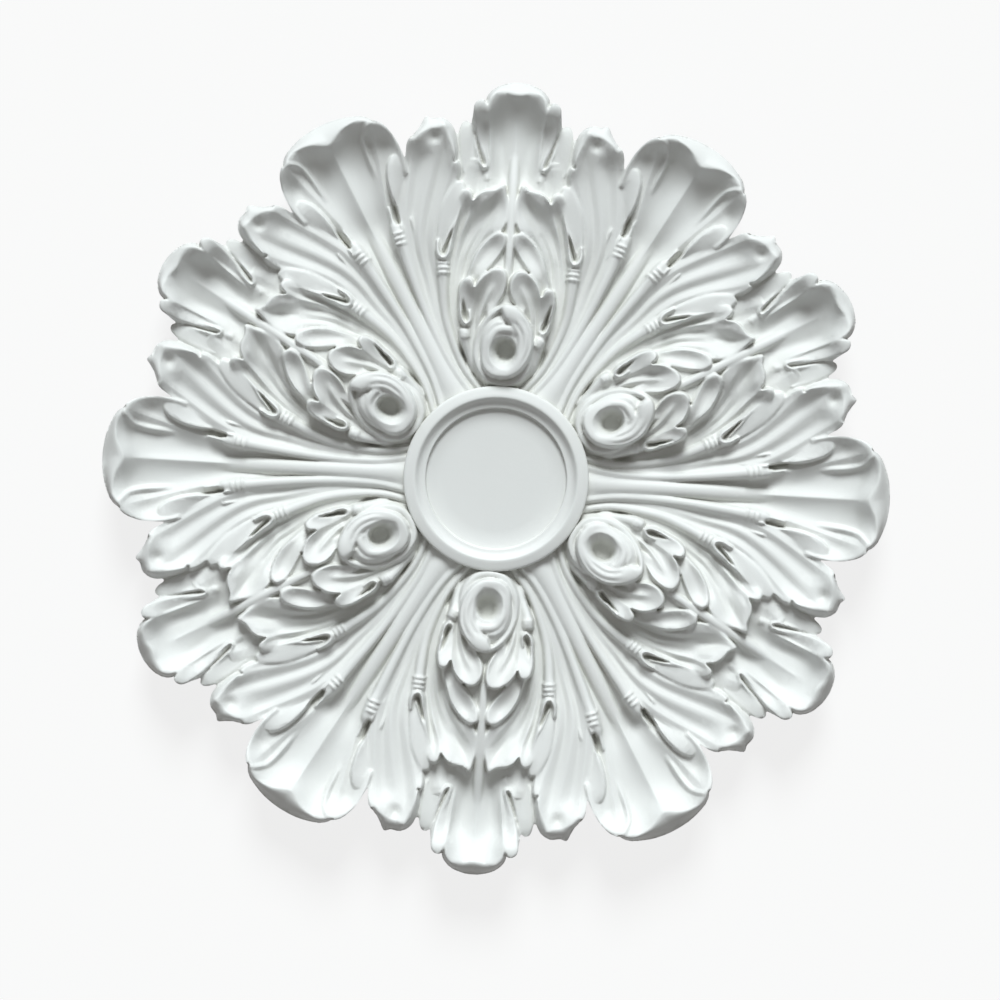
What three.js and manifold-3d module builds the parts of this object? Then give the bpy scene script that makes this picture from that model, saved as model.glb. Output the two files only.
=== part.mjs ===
// Ceiling rose: one cast plaster disc of leaves round a plain ring that takes a lamp's ceiling cup.
// Six equal units stand round the centre. Each has a fan leaf on its axis, a tall side leaf, an
// inner leaf and a small top leaf on each side of it, and a scroll. Six broad spoons lie between.
// Places are given on the face, in millimetres: across, outward from the centre, and height above
// the flat back. At the end the face is turned to look along -Y, with its top towards +Z.

import * as THREE from 'three';
import { mergeVertices } from 'three/addons/utils/BufferGeometryUtils.js';
import Module from 'manifold-3d';

const wasm = await Module();
wasm.setup();

// Driving dimensions
const ROSE_RADIUS = 302;
const UNITS = 6;
const UNIT_ANGLE = (2 * Math.PI) / UNITS;

// The round bed behind the leaves, and the free leaf tips that stand off the ceiling beyond it
const BED_RADIUS = 226;
const BED_HEIGHT = 14;
const TIP_UNDERCUT = 27;
const BACK_TRIM = 4;
const CUT_CLEARANCE = 20;

// The plain ring and the sunk plate inside it
const RING_RADIUS = 71.3;
const RING_HEIGHT = 40;
const RING_EDGE_ROUND = 1.8;
const RING_LAND = 9;
const COVE_WIDTH = 6.5;
const COVE_DEPTH = 6.5;
const PLATE_STEP_WIDTH = 2;
const PLATE_STEP = 3;
const RING_SIDES = 42;
const RING_OVERLAP = 1;
const BACK_SIDES = 48;

// Heights of the layers above the back, at the root and at the tip of what lies in each
const STEM_HEIGHT = 31;
const FAN_ROOT = 22;
const FAN_RIM = 44;
const SIDE_LEAF_ROOT = 26;
const SIDE_LEAF_TIP = 45;
const INNER_LEAF_ROOT = 29;
const INNER_LEAF_TIP = 43;
const TOP_LEAF_ROOT = 34;
const TOP_LEAF_TIP = 49;
const SCROLL_HEIGHT = 50;
const SCROLL_HOLE_FLOOR = 20;
const SPOON_ROOT = 33;
const SPOON_WAIST = 27;
const SPOON_RIM = 49;
const SPOON_FLUTE = 2.4;
const SPOON_FLUTE_START = 190;
const SPOON_FLUTE_RUN = 60;

// How finely the forms are cut
const SCROLL_SIDES = 14;
const LEAF_FACES = 8400;
const SMALLEST_FACE = 0.05;
const MERGE_REACH = 0.002;
const LEAST_ALIKE = 0.3;
const SAME_PLACE = 0.0001;

const plaster = new THREE.MeshStandardMaterial({ color: 0xe4e8e8, roughness: 0.62, metalness: 0 });

function mix(a, b, share) {
  return a + (b - a) * share;
}

function ease(share) {
  const s = Math.min(1, Math.max(0, share));
  return s * s * (3 - 2 * s);
}

// A closed solid over a grid of surface points: rows of equal length, walls round them and a
// flat underside below the back plane, where the finished rose is cut off
function solidUnderRows(rows) {
  const across = rows[0].length;
  const positions = [...rows.flat(2), ...rows.flat().flatMap(([u, v]) => [u, v, -BACK_TRIM])];
  const under = rows.length * across;
  const faces = [];
  const quad = (a, b, c, d) => faces.push(a, b, c, a, c, d);
  for (let i = 0; i < rows.length - 1; i += 1) {
    const near = i * across;
    const far = near + across;
    for (let j = 0; j < across - 1; j += 1) {
      quad(near + j, near + j + 1, far + j + 1, far + j);
      quad(under + far + j, under + far + j + 1, under + near + j + 1, under + near + j);
    }
    quad(near, far, under + far, under + near);
    const [nearEnd, farEnd] = [near + across - 1, far + across - 1];
    quad(farEnd, nearEnd, under + nearEnd, under + farEnd);
  }
  const last = (rows.length - 1) * across;
  for (let j = 0; j < across - 1; j += 1) {
    quad(j + 1, j, under + j, under + j + 1);
    quad(last + j, last + j + 1, under + last + j + 1, under + last + j);
  }
  return { positions, faces };
}

function manifoldFrom({ positions, faces }) {
  let volume = 0;
  const corner = (k) => new THREE.Vector3().fromArray(positions, 3 * k);
  for (let i = 0; i < faces.length; i += 3) {
    const [a, b, c] = [corner(faces[i]), corner(faces[i + 1]), corner(faces[i + 2])];
    volume += a.dot(b.cross(c));
  }
  const outward = volume > 0 ? faces : faces.slice().reverse();
  const vertProperties = new Float32Array(positions);
  const triVerts = new Uint32Array(outward);
  return new wasm.Manifold(new wasm.Mesh({ numProp: 3, vertProperties, triVerts }));
}

function mirrored({ positions, faces }) {
  return { positions: positions.map((value, index) => (index % 3 === 0 ? -value : value)), faces };
}

function turned({ positions, faces }, angle) {
  const out = [];
  for (let i = 0; i < positions.length; i += 3) {
    const point = new THREE.Vector3().fromArray(positions, i);
    out.push(...point.applyAxisAngle(new THREE.Vector3(0, 0, 1), angle).toArray());
  }
  return { positions: out, faces };
}

// A place given beside the spoon on a unit's left, as a place on that unit's own face. The
// third value, the kind of point or a height, stays as it is.
function besideSpoon(across, outward, kind) {
  const turn = UNIT_ANGLE / 2;
  return [
    across * Math.cos(turn) - outward * Math.sin(turn),
    across * Math.sin(turn) + outward * Math.cos(turn),
    kind,
  ];
}

// What each kind of point on a leaf's outline does to the surface that runs out to it: how much
// it lies above the leaf's own height along the way, and at its very end
const OUTLINE_KINDS = {
  notch: { along: -5, end: -6 },
  edge: { along: 1.5, end: 1.5 },
  tip: { along: -3, end: 1 },
  lip: { along: -3, end: -9 },
};

// A lobed leaf: flutes run from the root out to each point of its outline, through lines that
// cross it. A line has its first and last place and its height. Points go along the outline from
// the line's first side to its last.
function leaf({ lines, outline, tipHeight, rows }) {
  const flutes = outline.map(([u, v, kind], index) => {
    const share = index / (outline.length - 1);
    const through = lines.map(([first, last, height]) => (
      new THREE.Vector3(mix(first[0], last[0], share), mix(first[1], last[1], share), height)
    ));
    through.push(new THREE.Vector3(u, v, tipHeight));
    const curve = new THREE.CatmullRomCurve3(through, false, 'catmullrom', 0.5);
    return { curve, kind: OUTLINE_KINDS[kind] };
  });
  return solidUnderRows(rows.map((t) => flutes.map(({ curve, kind }) => {
    const place = curve.getPoint(t);
    const relief = t === 1 ? kind.end : kind.along * ease((t - 0.1) / 0.6);
    return [place.x, place.y, place.z + relief];
  })));
}

// A rounded stem along a curve of places, from the first height to the last
function stem({ along, width, height, crown = 2.6, steps = 4 }) {
  const curve = new THREE.CatmullRomCurve3(along.map(([u, v]) => new THREE.Vector3(u, v, 0)));
  const rows = [];
  for (let i = 0; i <= steps; i += 1) {
    const t = i / steps;
    const place = curve.getPoint(t);
    const heading = curve.getTangent(t);
    const half = mix(width[0], width[1], t) / 2;
    rows.push([-1, 0, 1].map((s) => [
      place.x + heading.y * half * s,
      place.y - heading.x * half * s,
      mix(height[0], height[1], t) - crown * s * s,
    ]));
  }
  return solidUnderRows(rows);
}

// The fan leaf on the unit's axis, with its side lobes and a free finger on each side
function fanLeaf() {
  const left = [
    [-42, 240, 'notch'], [-42.5, 262, 'edge'], [-39, 271.5, 'tip'], [-35, 266, 'edge'],
    [-24, 237, 'notch'], [-34, 270, 'edge'], [-30, 288.5, 'tip'], [-23, 286, 'notch'],
    [-14, ROSE_RADIUS - 2.5, 'lip'],
  ];
  const right = left.map(([u, v, kind]) => [-u, v, kind]).reverse();
  return leaf({
    lines: [
      [[-9, 155], [9, 155], FAN_ROOT],
      [[-24, 195], [24, 195], FAN_ROOT + 4],
      [[-38, 225], [38, 225], FAN_ROOT + 9],
    ],
    outline: [...left, [0, ROSE_RADIUS, 'lip'], ...right],
    tipHeight: FAN_RIM,
    rows: [0, 0.4, 0.67, 0.85, 0.94, 1],
  });
}

function fanRib() {
  return stem({
    along: [[0, 148], [0, 200], [0, 250], [0, ROSE_RADIUS - 14]],
    width: [8, 3],
    height: [FAN_ROOT + 7, FAN_RIM],
    steps: 3,
  });
}

// The broad spoon between two units. Each row has its place outward, half width, height at the
// axis, how much higher its edges are and how far they lie back.
function spoon() {
  const rim = ROSE_RADIUS - 15;
  const rows = [
    [RING_RADIUS - 6, 14, SPOON_ROOT, 0, 0],
    [92, 8, SPOON_ROOT - 2, 0, 0],
    [130, 6, SPOON_WAIST + 1, 0, 0],
    [190, 9.5, SPOON_WAIST, 1.5, 0],
    [216, 21, SPOON_WAIST + 2, 4, 0],
    [245, 35, SPOON_WAIST + 8, 6, 4],
    [rim, 43.5, SPOON_RIM, 4, 16],
    [ROSE_RADIUS - 3, 46.5, SPOON_RIM - 5, -3, 28],
    [ROSE_RADIUS, 47, SPOON_RIM - 12, -4, 35],
  ];
  const section = [-1, -0.67, -0.33, 0, 0.33, 0.67, 1];
  return solidUnderRows(rows.map(([outward, half, height, edgeRise, edgeBack]) => section.map((s) => [
    half * s,
    outward - edgeBack * s * s,
    height + edgeRise * s * s
      + SPOON_FLUTE * Math.cos(3 * Math.PI * s) * ease((outward - SPOON_FLUTE_START) / SPOON_FLUTE_RUN),
  ])));
}

// The tall leaf beside the spoon: an outer finger, a small lobe, the main tip, a small lobe and
// an inner finger
function sideLeaf() {
  return leaf({
    lines: [
      [besideSpoon(12, RING_RADIUS - 5), besideSpoon(22, RING_RADIUS - 5), STEM_HEIGHT],
      [besideSpoon(8, 120), besideSpoon(20, 118), SIDE_LEAF_ROOT + 2],
      [besideSpoon(14, 188), [-48, 176], SIDE_LEAF_ROOT + 6],
    ],
    outline: [
      besideSpoon(25, 222, 'notch'), besideSpoon(27, 242, 'edge'), besideSpoon(38, 257, 'tip'),
      besideSpoon(45, 252, 'edge'), besideSpoon(46, 243, 'notch'), besideSpoon(56, 261.5, 'tip'),
      besideSpoon(61, 256, 'notch'), [-75, 261, 'edge'], [-64, 264.5, 'tip'], [-53, 266.5, 'edge'],
      [-46, 252, 'edge'], [-46, 238, 'notch'], [-42.5, 239.5, 'edge'], [-45, 224, 'notch'],
      [-41, 225.5, 'edge'], [-38, 212, 'notch'],
    ],
    tipHeight: SIDE_LEAF_TIP,
    rows: [0, 0.33, 0.67, 0.84, 1],
  });
}

// The second edge of leaf that shows behind the side leaf's main tip
function backLeaf() {
  return leaf({
    lines: [[[-66, 225], [-44, 228], SIDE_LEAF_ROOT]],
    outline: [
      [-76, 259, 'edge'], [-68, 274, 'edge'], [-55, 272, 'edge'], [-46, 266, 'edge'], [-42, 254, 'edge'],
    ],
    tipHeight: SIDE_LEAF_TIP - 11,
    rows: [0, 0.7, 1],
  });
}

// The inner leaf that lies on the fan leaf: a small lobe and a broad one with its point inwards
function innerLeaf() {
  return leaf({
    lines: [
      [[-38, 100], [-31, 100], INNER_LEAF_ROOT],
      [[-42, 140], [-31, 140], INNER_LEAF_ROOT + 1],
      [[-42, 175], [-14, 172], INNER_LEAF_ROOT + 5],
    ],
    outline: [
      [-38, 200, 'notch'], [-34.5, 219, 'tip'], [-31, 209, 'notch'], [-27, 216, 'edge'],
      [-17, 219.5, 'tip'], [-7, 225, 'edge'], [-3, 206, 'edge'], [-9, 190, 'notch'],
    ],
    tipHeight: INNER_LEAF_TIP,
    rows: [0, 0.33, 0.67, 0.84, 1],
  });
}

// The small spoon that curls in to the rib above the top leaf
function innerSpoon() {
  return leaf({
    lines: [
      [[-37, 122], [-30, 120], INNER_LEAF_ROOT + 4],
      [[-34, 152], [-23, 146], INNER_LEAF_ROOT + 6],
    ],
    outline: [
      [-25, 172, 'edge'], [-15, 183, 'edge'], [-5, 186.5, 'tip'], [-2, 179, 'edge'], [-13, 163, 'edge'],
    ],
    tipHeight: INNER_LEAF_TIP,
    rows: [0, 0.5, 0.8, 1],
  });
}

// The leaf on top beside the scroll: a finger and a broad lobe
function topLeaf() {
  return leaf({
    lines: [
      [[-24, 84], [-16, 82], TOP_LEAF_ROOT],
      [[-33, 112], [-16, 108], TOP_LEAF_ROOT + 2],
    ],
    outline: [
      [-37, 135, 'edge'], [-34, 150, 'edge'], [-28, 151, 'edge'], [-25, 141, 'notch'], [-21, 153, 'edge'],
      [-12, 159, 'tip'], [-3, 159, 'edge'], [-1, 146, 'edge'], [-6, 131, 'notch'],
    ],
    tipHeight: TOP_LEAF_TIP,
    rows: [0, 0.5, 0.8, 1],
  });
}

// The rounded stems between the ring and the bands of the three fingers on the left side
function fingerStems() {
  const toOuterFinger = stem({
    along: [besideSpoon(13, 66), besideSpoon(8.5, 95), besideSpoon(9, 140), besideSpoon(16, 203)],
    width: [5, 10],
    height: [STEM_HEIGHT + 2, SIDE_LEAF_ROOT + 9],
  });
  const toInnerFinger = stem({
    along: [besideSpoon(20, 66), besideSpoon(16.5, 92), besideSpoon(22, 130), [-51, 168]],
    width: [5, 10],
    height: [STEM_HEIGHT + 1, SIDE_LEAF_ROOT + 11],
  });
  const toTopFinger = stem({
    along: [besideSpoon(27, 66), besideSpoon(23.5, 86), [-33, 118]],
    width: [5, 9],
    height: [STEM_HEIGHT + 1, TOP_LEAF_ROOT + 4],
    steps: 3,
  });
  return [toOuterFinger, toInnerFinger, toTopFinger];
}

// The scroll: an egg-shaped roll with a hole in it. Each turn has its centre across and outward,
// its two half sizes and its height.
function scroll() {
  const turns = [
    [-1.5, 105, 18.5, 27.5, -BACK_TRIM],
    [-1.5, 105, 18.5, 27.5, STEM_HEIGHT + 3],
    [-1.5, 103, 15, 22.5, SCROLL_HEIGHT - 1],
    [-2.5, 97, 10.5, 14, SCROLL_HEIGHT],
    [-2.5, 96.5, 8, 10.5, SCROLL_HOLE_FLOOR],
  ];
  const positions = [];
  const faces = [];
  for (const [across, outward, halfAcross, halfOutward, height] of turns) {
    for (let k = 0; k < SCROLL_SIDES; k += 1) {
      const angle = (2 * Math.PI * k) / SCROLL_SIDES;
      positions.push(across + halfAcross * Math.cos(angle), outward + halfOutward * Math.sin(angle), height);
    }
  }
  for (let i = 0; i < turns.length - 1; i += 1) {
    for (let k = 0; k < SCROLL_SIDES; k += 1) {
      const next = (k + 1) % SCROLL_SIDES;
      const near = i * SCROLL_SIDES;
      const far = near + SCROLL_SIDES;
      faces.push(near + k, near + next, far + next, near + k, far + next, far + k);
    }
  }
  const floor = (turns.length - 1) * SCROLL_SIDES;
  for (let k = 1; k < SCROLL_SIDES - 1; k += 1) {
    faces.push(0, k + 1, k);
    faces.push(floor, floor + k, floor + k + 1);
  }
  return { positions, faces };
}

function scrollTongue() {
  return stem({
    along: [[15, 108], [10, 123], [0, 126], [-5, 116]],
    width: [6, 8],
    height: [SCROLL_HEIGHT - 2, SCROLL_HEIGHT + 3],
  });
}

// A closed lathe shape in face places, from a profile of radius and height
function turnedSolid(profile, sides) {
  const points = profile.map(([radius, height]) => new THREE.Vector2(radius, height));
  const geometry = new THREE.LatheGeometry(points, sides);
  geometry.rotateX(Math.PI / 2);
  geometry.deleteAttribute('normal');
  geometry.deleteAttribute('uv');
  const merged = mergeVertices(geometry, SAME_PLACE);
  const faces = [];
  const index = merged.index.array;
  for (let i = 0; i < index.length; i += 3) {
    const [a, b, c] = [index[i], index[i + 1], index[i + 2]];
    if (a !== b && b !== c && c !== a) faces.push(a, b, c);
  }
  return { positions: Array.from(merged.attributes.position.array), faces };
}

function ringAndPlate() {
  const landInner = RING_RADIUS - RING_LAND;
  const coveInner = landInner - COVE_WIDTH;
  const coveFloor = RING_HEIGHT - COVE_DEPTH;
  const plateEdge = coveInner - PLATE_STEP_WIDTH;
  return turnedSolid([
    [0, 0],
    [RING_RADIUS, 0],
    [RING_RADIUS, RING_HEIGHT - RING_EDGE_ROUND],
    [RING_RADIUS - RING_EDGE_ROUND, RING_HEIGHT],
    [landInner, RING_HEIGHT],
    [mix(landInner, coveInner, 0.4), mix(RING_HEIGHT, coveFloor, 0.72)],
    [coveInner, coveFloor],
    [plateEdge, coveFloor],
    [plateEdge, coveFloor - PLATE_STEP],
    [0, coveFloor - PLATE_STEP],
  ], RING_SIDES);
}

function bed() {
  const [low, high] = [-BACK_TRIM, BED_HEIGHT];
  return turnedSolid([[0, low], [BED_RADIUS, low], [BED_RADIUS, high], [0, high]], RING_SIDES);
}

// What is cut away behind the leaves: all below the back plane, and the space under the free
// tips, which slopes up from the edge of the bed
function behindTheLeaves() {
  const outer = ROSE_RADIUS + CUT_CLEARANCE;
  const rise = (TIP_UNDERCUT * (outer - BED_RADIUS)) / (ROSE_RADIUS - BED_RADIUS);
  const low = -2 * BACK_TRIM;
  return turnedSolid([[0, low], [outer, low], [outer, rise], [BED_RADIUS, 0], [0, 0]], BACK_SIDES);
}

function joined(solids) {
  return solids.reduce((sum, solid) => sum.add(solid));
}

function shapeOf(manifold) {
  const mesh = manifold.getMesh();
  return { positions: Array.from(mesh.vertProperties), faces: Array.from(mesh.triVerts) };
}

// Squared distance of a place from the planes of the faces that met at a point, each weighted
// by its face's area
function distanceFromPlanes(planes, [x, y, z]) {
  const [aa, ab, ac, ad, bb, bc, bd, cc, cd, dd] = planes;
  return aa * x * x + bb * y * y + cc * z * z + dd
    + 2 * (ab * x * y + ac * x * z + ad * x + bc * y * z + bd * y + cd * z);
}

// The same solid with fewer faces. Points are merged into a neighbour one by one, the merge that
// moves the surface least first, and no merge may fold a face over or close a passage.
function thinned({ positions, faces }, wanted) {
  const place = [];
  for (let i = 0; i < positions.length; i += 3) place.push(positions.slice(i, i + 3));
  const triangles = [];
  for (let i = 0; i < faces.length; i += 3) triangles.push(faces.slice(i, i + 3));
  const around = place.map(() => new Set());
  const planes = place.map(() => new Float64Array(10));
  const visits = new Uint32Array(place.length);
  const normalOf = (a, b, c) => {
    const [e, f] = [[0, 1, 2].map((k) => b[k] - a[k]), [0, 1, 2].map((k) => c[k] - a[k])];
    return [e[1] * f[2] - e[2] * f[1], e[2] * f[0] - e[0] * f[2], e[0] * f[1] - e[1] * f[0]];
  };
  triangles.forEach((triangle, index) => {
    const [p, q, r] = triangle.map((k) => place[k]);
    const normal = normalOf(p, q, r);
    const length = Math.hypot(...normal) || 1;
    const [a, b, c] = normal.map((value) => value / length);
    const d = -(a * p[0] + b * p[1] + c * p[2]);
    const products = [a * a, a * b, a * c, a * d, b * b, b * c, b * d, c * c, c * d, d * d];
    for (const k of triangle) {
      around[k].add(index);
      products.forEach((value, n) => { planes[k][n] += (value * length) / 2; });
    }
  });
  const neighbours = (k) => {
    const found = new Set();
    for (const index of around[k]) triangles[index].forEach((other) => found.add(other));
    found.delete(k);
    return found;
  };
  const heap = [];
  const push = (item) => {
    let at = heap.push(item) - 1;
    while (at > 0 && heap[(at - 1) >> 1].cost > item.cost) {
      heap[at] = heap[(at - 1) >> 1];
      at = (at - 1) >> 1;
    }
    heap[at] = item;
  };
  const pop = () => {
    const first = heap[0];
    const item = heap.pop();
    if (heap.length === 0) return first;
    let at = 0;
    for (;;) {
      let child = 2 * at + 1;
      if (child >= heap.length) break;
      if (child + 1 < heap.length && heap[child + 1].cost < heap[child].cost) child += 1;
      if (heap[child].cost >= item.cost) break;
      heap[at] = heap[child];
      at = child;
    }
    heap[at] = item;
    return first;
  };
  const offer = (from, to) => {
    const sum = planes[from].map((value, n) => value + planes[to][n]);
    const step = Math.hypot(...[0, 1, 2].map((k) => place[from][k] - place[to][k]));
    const cost = distanceFromPlanes(sum, place[to]) + MERGE_REACH * step * step;
    push({ cost, from, to, visit: visits[from] + visits[to] });
  };
  const mayMerge = (from, to) => {
    const near = neighbours(to);
    const shared = [...neighbours(from)].filter((other) => near.has(other));
    if (shared.length !== 2) return false;
    for (const index of around[from]) {
      const triangle = triangles[index];
      if (!triangle.includes(to)) {
        const before = normalOf(...triangle.map((k) => place[k]));
        const after = normalOf(...triangle.map((k) => place[k === from ? to : k]));
        const [sizeBefore, sizeAfter] = [Math.hypot(...before), Math.hypot(...after)];
        const turn = before[0] * after[0] + before[1] * after[1] + before[2] * after[2];
        if (sizeAfter < SMALLEST_FACE || turn < LEAST_ALIKE * sizeBefore * sizeAfter) return false;
      }
    }
    return true;
  };
  place.forEach((_, k) => neighbours(k).forEach((other) => offer(k, other)));
  let left = triangles.length;
  while (left > wanted && heap.length > 0) {
    const { from, to, visit } = pop();
    const bothThere = around[from].size > 0 && around[to].size > 0;
    const upToDate = visit === visits[from] + visits[to];
    if (bothThere && upToDate && mayMerge(from, to)) {
      for (const index of around[from]) {
        const triangle = triangles[index];
        if (triangle.includes(to)) {
          triangle.filter((k) => k !== from).forEach((k) => around[k].delete(index));
          triangles[index] = null;
          left -= 1;
        } else {
          triangles[index] = triangle.map((k) => (k === from ? to : k));
          around[to].add(index);
        }
      }
      around[from].clear();
      planes[from].forEach((value, n) => { planes[to][n] += value; });
      visits[to] += 1;
      neighbours(to).forEach((other) => {
        offer(to, other);
        offer(other, to);
      });
    }
  }
  const kept = triangles.filter((triangle) => triangle !== null);
  const used = [...new Set(kept.flat())];
  const renumbered = new Map(used.map((k, index) => [k, index]));
  return {
    positions: used.flatMap((k) => place[k]),
    faces: kept.flat().map((k) => renumbered.get(k)),
  };
}

function leafUnit() {
  const left = [sideLeaf(), backLeaf(), innerLeaf(), innerSpoon(), topLeaf(), ...fingerStems()];
  const middle = [fanLeaf(), fanRib(), scroll(), scrollTongue(), turned(spoon(), -UNIT_ANGLE / 2)];
  const shapes = [...left, ...left.map(mirrored), ...middle];
  return shapeOf(joined(shapes.map(manifoldFrom)));
}

// The middle that is cut out of the leaves, so that the ring and the plate can stand in it
function middleOfTheLeaves() {
  const outer = RING_RADIUS - RING_OVERLAP;
  const [low, high] = [-2 * BACK_TRIM, SCROLL_HEIGHT + CUT_CLEARANCE];
  return turnedSolid([[0, low], [outer, low], [outer, high], [0, high]], RING_SIDES);
}

function ceilingRose() {
  const unit = leafUnit();
  const solids = [manifoldFrom(bed())];
  for (let k = 0; k < UNITS; k += 1) solids.push(manifoldFrom(turned(unit, k * UNIT_ANGLE)));
  const cuts = [behindTheLeaves(), middleOfTheLeaves()].map(manifoldFrom);
  const leaves = joined(solids).subtract(joined(cuts));
  const leaner = manifoldFrom(thinned(shapeOf(leaves), LEAF_FACES));
  const whole = shapeOf(leaner.add(manifoldFrom(ringAndPlate())));
  const geometry = new THREE.BufferGeometry();
  geometry.setAttribute('position', new THREE.Float32BufferAttribute(whole.positions, 3));
  geometry.setIndex(whole.faces);
  geometry.computeVertexNormals();
  const mesh = new THREE.Mesh(geometry, plaster);
  mesh.name = 'ceiling_rose';
  return mesh;
}

const group = new THREE.Group();
group.add(ceilingRose());
group.rotation.x = Math.PI / 2;

export default group;
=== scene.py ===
import math
from collections import namedtuple

import bpy
import numpy as np
from mathutils import Matrix, Vector


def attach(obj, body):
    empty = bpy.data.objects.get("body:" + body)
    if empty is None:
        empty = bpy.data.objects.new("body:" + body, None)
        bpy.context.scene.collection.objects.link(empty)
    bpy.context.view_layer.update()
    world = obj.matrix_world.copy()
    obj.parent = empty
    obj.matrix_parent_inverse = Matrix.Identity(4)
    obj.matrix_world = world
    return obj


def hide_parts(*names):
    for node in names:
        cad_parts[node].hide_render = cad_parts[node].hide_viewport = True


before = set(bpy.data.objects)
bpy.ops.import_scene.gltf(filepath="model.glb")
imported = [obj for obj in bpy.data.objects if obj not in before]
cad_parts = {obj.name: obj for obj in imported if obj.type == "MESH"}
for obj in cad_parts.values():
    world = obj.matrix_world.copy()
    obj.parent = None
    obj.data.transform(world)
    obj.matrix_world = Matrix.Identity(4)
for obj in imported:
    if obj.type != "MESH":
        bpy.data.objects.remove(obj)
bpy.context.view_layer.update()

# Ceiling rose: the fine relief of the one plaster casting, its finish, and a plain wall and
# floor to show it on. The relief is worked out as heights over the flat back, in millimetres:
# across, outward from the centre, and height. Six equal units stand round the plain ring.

MM = 0.001
UNITS = 6
UNIT_ANGLE = 2 * math.pi / UNITS

# Driving sizes, as in the solid. Only the inner leaf's tip is a millimetre lower here.
ROSE_RADIUS = 302.0
BED_RADIUS = 226.0
BED_HEIGHT = 14.0
TIP_UNDERCUT = 27.0
RING_RADIUS = 71.3
STEM_HEIGHT = 31.0
FAN_ROOT = 22.0
FAN_RIM = 44.0
SIDE_LEAF_ROOT = 26.0
SIDE_LEAF_TIP = 45.0
INNER_LEAF_ROOT = 29.0
INNER_LEAF_TIP = 42.0
TOP_LEAF_ROOT = 34.0
TOP_LEAF_TIP = 49.0
SCROLL_HEIGHT = 50.0
SPOON_ROOT = 33.0
SPOON_WAIST = 27.0
SPOON_RIM = 49.0

# The raster that the leaves are laid on, and the mesh made from it
CELL = 0.36
LAY_STEP = 0.24
SOFTENING = 0.6
FIELD_ACROSS = 172.0
FIELD_LOW = 58.0
FIELD_HIGH = 308.0
COVERED = 0.5
STEPS_OVER = 1.3
COLUMNS_PER_UNIT = 330
ROW_STEP = 0.8
ROWS_BEYOND = 4
RING_EVERY = 6
FACE_LIMIT = 192000
SHARP_ANGLE = 62

# How the carving is rounded, fluted and drilled. An end, a start, a rise or a slope of a flute,
# a fold, a flank or an eye is a share of its length, and the rest are lengths or powers.
FILLET = 1.2
RIM_STRIDE = 3
RIM_ROUND = 1.0
RIM_EDGE = 0.8
RIM_KNEE = 2.0
RIM_OVER = 6.5
FLANK_EDGE = 1.6
FLANK_END = 0.25
ROOT_EDGE = 4
FLUTE_START = 0.3
FLUTE_RISE = 0.4
FLUTE_END = 9.0
ONE_FLUTE_SHARPNESS = 0.9
FLUTES_SHARPNESS = 2.0
LIP_OVER = 1.6
LIP_CURVE = 1.8
LIP_FILLET = 0.4
STEM_SIDE = 0.98
FOLD_END = 0.3
BAND_RISE = 1.7
BAND_WIDTH = 2.3
BAND_END_DROP = 2.4
BAND_DROP = 0.5
BAND_CROWN = 1.3
BAND_FILLET = 0.3
SCROLL_STEPS_ROUND = 500
SCROLL_STEPS_DOWN = 200
EYE_ABOVE_MIDDLE = 2
EYE_RIM_SHARES = (0.6, 1.0, 1.0, 1.0, 0.6)
EYE_RIM_RISES = (-1.0, 0.6, 0.9, 0.6, -1.0)
EYE_RIM_CROWN = 1.1
EYE_RIM_FILLET = 1.0
EYE_SLOPE = 0.45
EYE_WALL = 1.5

# The low ground by the ring, the thinnest place, and the wall along the outline
GROUND_STEPS_ROUND = 700
GROUND_STEPS_OUT = 180
GROUND_UNDER_RING = 4
GROUND_REACH = 38
GROUND_BELOW_STEMS = 3
GROUND_DROP = 7
GROUND_DROP_REACH = 20
THINNEST = 6
EDGE_BULGE = 0.35
EDGE_ROUND = 1.2
EDGE_FOOT = 1.0
EDGE_CHAMFER = 1.5
EDGE_GAP = 0.3

# The finish, the stage, the light and the photograph's view, in metres, degrees and pixels
PALE_PAINT = (0.79, 0.805, 0.805, 1)
DULL_PAINT = (0.75, 0.77, 0.775, 1)
# Painted shade: a warm grey mixed into the paint in hollows and creases, over this reach, where shade
# falls
PAINTED_SHADE_GREY = (0.60, 0.60, 0.56, 1)
PAINTED_SHADE_REACH = 0.018
BUMP_DEPTH = 0.0006
STAGE_HALF_WIDTH = 4.0
STAGE_FRONT = -5.0
WALL_BEHIND = 0.0015
WALL_COLOUR = (0.16, 0.16, 0.16, 1)
WALL_GLOW = 0.81
FLOOR_LEVEL = -1.1
FLOOR_COLOUR = (0.8, 0.8, 0.8, 1)
LIGHT_PATH = (0.0, 0.616, -0.787)
LIGHT_ENERGY = 3.45
LIGHT_COLOUR = (0.95, 1.0, 1.0)
LIGHT_ANGLE = 24
ROOM_COLOUR = (1.0, 0.97, 0.92, 1)
ROOM_STRENGTH = 0.22
PHOTO_SIDE = 1000
PHOTO_CENTRE = (496.1, 478.7)
PHOTO_TURN = 3.36
VIEW_WIDTH = 0.766
VIEW_DISTANCE = 2.0
FACE_PLANE = 0.040
SENSOR_WIDTH = 36.0


def ease(x):
    """A soft step from nought to one, level at both ends."""
    x = np.clip(x, 0.0, 1.0)
    return x * x * (3 - 2 * x)


def mix(a, b, share):
    """What lies between two values, at a share of the way."""
    return a + (b - a) * share


def turned(across, outward, angle):
    """A place turned round the rose's centre."""
    c, s = math.cos(angle), math.sin(angle)
    return (across * c - outward * s, across * s + outward * c)


def beside_spoon(across, outward):
    """A place given beside the spoon on a unit's left, as a place on that unit's own face."""
    return turned(across, outward, UNIT_ANGLE / 2)


def at_spoon(places):
    """Places given beside the spoon, each with its rise kept."""
    return [(*beside_spoon(*place[:2]), *place[2:]) for place in places]


def mirrored(places):
    """The same places on the other side of the axis, in reverse order."""
    return [(-place[0], *place[1:]) for place in reversed(places)]


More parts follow.
